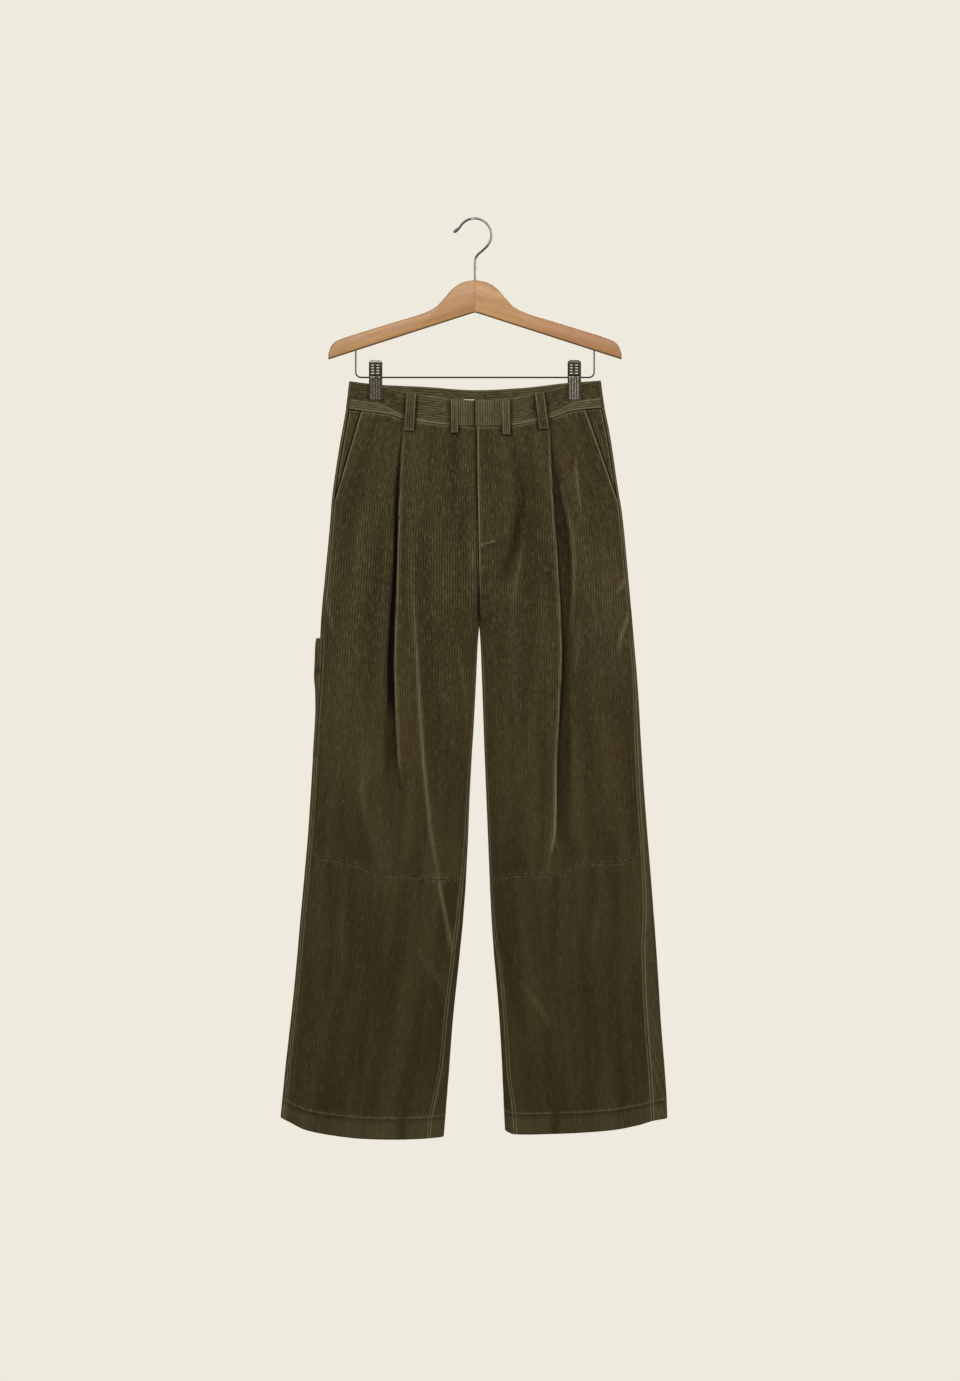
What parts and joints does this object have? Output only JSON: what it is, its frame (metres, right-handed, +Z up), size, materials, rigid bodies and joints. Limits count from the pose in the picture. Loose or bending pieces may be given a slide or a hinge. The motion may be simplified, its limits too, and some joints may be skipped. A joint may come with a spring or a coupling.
{
  "type": "wide-leg pleated corduroy trousers on a wooden clip hanger",
  "caption": "High-waisted wide-leg corduroy trousers with pleats, slanted pockets and belt loops, hung flat by the waist from a wooden clip hanger",
  "frame": {"origin": "the inside of the top of the hanger's hook, where a rail carries it", "axes": "+Z up; the trousers' front faces -Y; +X is the wearer's left; the hanger's plane is Y = 0"},
  "size_m": [0.5785, 0.054, 1.3809],
  "materials": {
    "corduroy": "fine-wale cotton corduroy, olive brown, with a soft pile sheen",
    "label_cloth": "plain white woven tape",
    "beech": "clear satin varnish on beech",
    "steel": "nickel-plated steel wire",
    "bronze_steel": "dark bronze-plated steel"
  },
  "bodies": {
    "root": {"front_upper_right": "corduroy", "front_upper_left": "corduroy", "front_lower_right": "corduroy", "front_lower_left": "corduroy", "back_right": "corduroy", "back_left": "corduroy", "pocket_facing_right": "corduroy", "pocket_facing_left": "corduroy", "tool_pocket_right": "corduroy", "waistband_front_right": "corduroy", "waistband_front_left": "corduroy", "waistband_back": "corduroy", "waist_tab_right": "corduroy", "waist_tab_left": "corduroy", "belt_loop_front_right": "corduroy", "belt_loop_front_left": "corduroy", "belt_loop_fly_right": "corduroy", "belt_loop_fly_left": "corduroy", "belt_loop_back_right": "corduroy", "belt_loop_back_left": "corduroy", "belt_loop_back_centre": "corduroy", "label": "label_cloth", "hanger_wood": "beech", "hanger_hook": "steel", "hanger_bar": "bronze_steel", "clip_right_front": "bronze_steel", "clip_right_back": "bronze_steel", "clip_left_front": "bronze_steel", "clip_left_back": "bronze_steel"}
  },
  "joints": []
}
